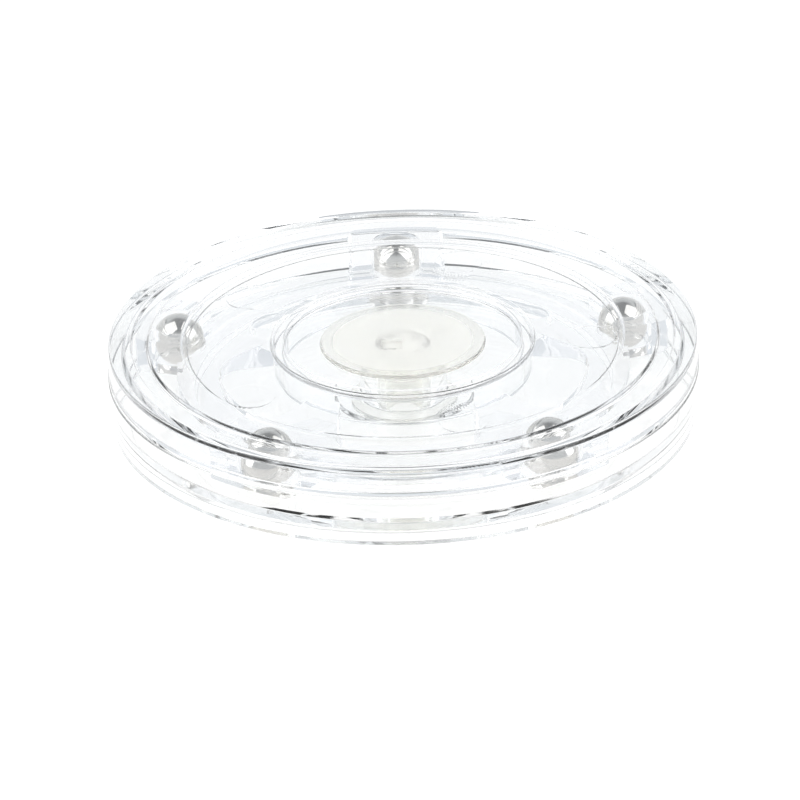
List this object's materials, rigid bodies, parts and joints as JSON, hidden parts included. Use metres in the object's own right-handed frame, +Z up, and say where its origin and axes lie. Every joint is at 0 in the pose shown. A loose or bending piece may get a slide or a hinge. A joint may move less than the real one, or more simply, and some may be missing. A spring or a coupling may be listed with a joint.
{
  "type": "turntable display stand",
  "caption": "Clear round ball-bearing turntable: two stacked moulded halves on a ring of caged steel balls, with a raised hub ring and a milky centre pin.",
  "frame": {"origin": "centre of the flat ring that the base stands on", "axes": "+Z up along the turning axis; +Y points to the back ball, -Y to the viewer"},
  "size_m": [0.14, 0.14, 0.02],
  "materials": {
    "clear_plastic": "polished, transparent",
    "cage_plastic": "polished, transparent",
    "milky_plastic": "translucent, satin",
    "ball_steel": "polished"
  },
  "bodies": {
    "base": {"base_plate": "clear_plastic"},
    "top": {"top_plate": "clear_plastic", "centre_pin": "milky_plastic", "retaining_washer": "milky_plastic"},
    "cage": {"ball_cage": "cage_plastic"},
    "ball_1": {"ball_1": "ball_steel"},
    "ball_2": {"ball_2": "ball_steel"},
    "ball_3": {"ball_3": "ball_steel"},
    "ball_4": {"ball_4": "ball_steel"},
    "ball_5": {"ball_5": "ball_steel"}
  },
  "joints": [
    {"name": "turn", "type": "hinge", "parent": "base", "child": "top", "pos_m": [0, 0, 0], "axis": [0, 0, 1], "continuous": true},
    {"name": "cage_orbit", "type": "hinge", "parent": "base", "child": "cage", "pos_m": [0, 0, 0], "axis": [0, 0, 1], "continuous": true},
    {"name": "ball_1_roll", "type": "hinge", "parent": "cage", "child": "ball_1", "pos_m": [-0.00097, 0.05559, 0.012], "axis": [-0.0175, 0.9998, 0], "continuous": true},
    {"name": "ball_2_roll", "type": "hinge", "parent": "cage", "child": "ball_2", "pos_m": [-0.05317, 0.01626, 0.012], "axis": [-0.9563, 0.2924, 0], "continuous": true},
    {"name": "ball_3_roll", "type": "hinge", "parent": "cage", "child": "ball_3", "pos_m": [-0.03189, -0.04554, 0.012], "axis": [-0.5736, -0.8192, 0], "continuous": true},
    {"name": "ball_4_roll", "type": "hinge", "parent": "cage", "child": "ball_4", "pos_m": [0.03346, -0.0444, 0.012], "axis": [0.6018, -0.7986, 0], "continuous": true},
    {"name": "ball_5_roll", "type": "hinge", "parent": "cage", "child": "ball_5", "pos_m": [0.05257, 0.0181, 0.012], "axis": [0.9455, 0.3256, 0], "continuous": true}
  ],
  "couplings": [
    {"joint": "cage_orbit", "follows": "turn", "ratio": 0.5},
    {"joint": "ball_1_roll", "follows": "turn", "ratio": -4.6333},
    {"joint": "ball_2_roll", "follows": "turn", "ratio": -4.6333},
    {"joint": "ball_3_roll", "follows": "turn", "ratio": -4.6333},
    {"joint": "ball_4_roll", "follows": "turn", "ratio": -4.6333},
    {"joint": "ball_5_roll", "follows": "turn", "ratio": -4.6333}
  ]
}
